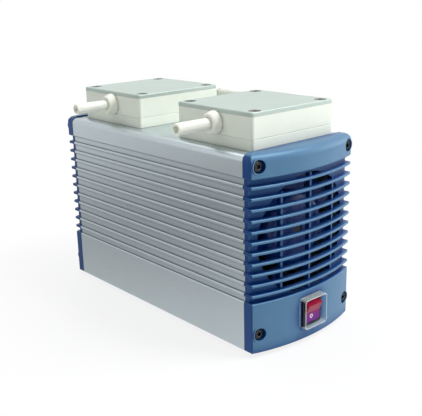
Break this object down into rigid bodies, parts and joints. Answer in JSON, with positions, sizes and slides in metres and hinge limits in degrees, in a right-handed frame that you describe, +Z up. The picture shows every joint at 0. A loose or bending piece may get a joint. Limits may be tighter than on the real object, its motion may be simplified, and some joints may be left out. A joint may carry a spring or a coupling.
{
  "type": "diaphragm vacuum pump",
  "caption": "Diaphragm vacuum pump: ribbed aluminium body with louvred end covers, square pump heads on top with hose nozzles, and a rocker switch in front.",
  "frame": {"origin": "on the floor, under the middle of the extruded body", "axes": "+Z up, -Y out of the front cover with the switch, +X towards the side with the connecting tube"},
  "size_m": [0.193, 0.3429, 0.2321],
  "materials": {
    "satin_aluminium": "satin anodised extrusion",
    "rubber": "matt",
    "black_steel": "black oxide",
    "blue_plastic": "fine-grained moulding",
    "zinc_steel": "zinc plated",
    "stator_steel": "varnished laminations",
    "copper": "enamelled copper wire",
    "bearing_steel": "ground",
    "ground_steel": "ground",
    "rotor_steel": "cast and turned",
    "fan_plastic": "moulded",
    "cast_aluminium": "die cast",
    "cast_iron": "machined",
    "elastomer": "smooth",
    "head_plastic": "machined",
    "plate_aluminium": "satin",
    "fitting_plastic": "machined",
    "tube_plastic": "smooth",
    "black_plastic": "moulded",
    "rocker_red": "translucent red",
    "clear_plastic": "clear",
    "capacitor_can": "moulded can"
  },
  "bodies": {
    "body": {"housing": "satin_aluminium", "rubber_feet": "rubber", "feet_screws": "black_steel", "front_cover": "blue_plastic", "rear_cover": "blue_plastic", "front_cover_screws": "black_steel", "rear_cover_screws": "black_steel", "bracket_screws": "zinc_steel", "stator_core": "stator_steel", "stator_windings": "copper", "motor_tie_bolts": "zinc_steel", "motor_bearings": "bearing_steel", "head_screws": "black_steel", "union_nuts": "fitting_plastic", "tube_elbows": "fitting_plastic", "tube_nuts": "fitting_plastic", "connecting_tube": "tube_plastic", "switch_frame": "black_plastic", "splash_cover": "clear_plastic", "mains_inlet": "black_plastic", "inlet_screws": "zinc_steel", "run_capacitor": "capacitor_can", "capacitor_clip": "zinc_steel", "front_motor_bracket": "cast_aluminium", "front_diaphragm": "elastomer", "front_head_base": "head_plastic", "front_head_block": "head_plastic", "front_valve_sheet": "elastomer", "front_head_plate": "plate_aluminium", "front_hose_nozzle": "fitting_plastic", "rear_motor_bracket": "cast_aluminium", "rear_diaphragm": "elastomer", "rear_head_base": "head_plastic", "rear_head_block": "head_plastic", "rear_valve_sheet": "elastomer", "rear_head_plate": "plate_aluminium", "rear_hose_nozzle": "fitting_plastic"},
    "shaft": {"motor_shaft": "ground_steel", "rotor_core": "rotor_steel", "cooling_fan": "fan_plastic", "fan_collar": "zinc_steel", "front_eccentric": "ground_steel", "front_counterweight": "cast_iron", "rear_eccentric": "ground_steel", "rear_counterweight": "cast_iron"},
    "front_rod": {"front_rod_bearing": "bearing_steel", "front_connecting_rod": "cast_aluminium", "front_support_disc": "cast_aluminium", "front_clamping_disc": "head_plastic"},
    "rear_rod": {"rear_rod_bearing": "bearing_steel", "rear_connecting_rod": "cast_aluminium", "rear_support_disc": "cast_aluminium", "rear_clamping_disc": "head_plastic"},
    "rocker": {"switch_rocker": "rocker_red"}
  },
  "joints": [
    {"name": "shaft_spin", "type": "hinge", "parent": "body", "child": "shaft", "pos_m": [0, 0, 0.112], "axis": [0, 1, 0], "continuous": true},
    {"name": "front_rod_turn", "type": "hinge", "parent": "shaft", "child": "front_rod", "pos_m": [0, -0.0885, 0.115], "axis": [0, 1, 0], "continuous": true, "deforming": ["front_diaphragm"]},
    {"name": "rear_rod_turn", "type": "hinge", "parent": "shaft", "child": "rear_rod", "pos_m": [0, 0.0815, 0.109], "axis": [0, 1, 0], "continuous": true, "deforming": ["rear_diaphragm"]},
    {"name": "rocker_turn", "type": "hinge", "parent": "body", "child": "rocker", "pos_m": [0, -0.16067, 0.033], "axis": [-1, 0, 0], "range_deg": [0, 24]}
  ],
  "couplings": [
    {"joint": "front_rod_turn", "follows": "shaft_spin", "ratio": -1},
    {"joint": "rear_rod_turn", "follows": "shaft_spin", "ratio": -1}
  ]
}
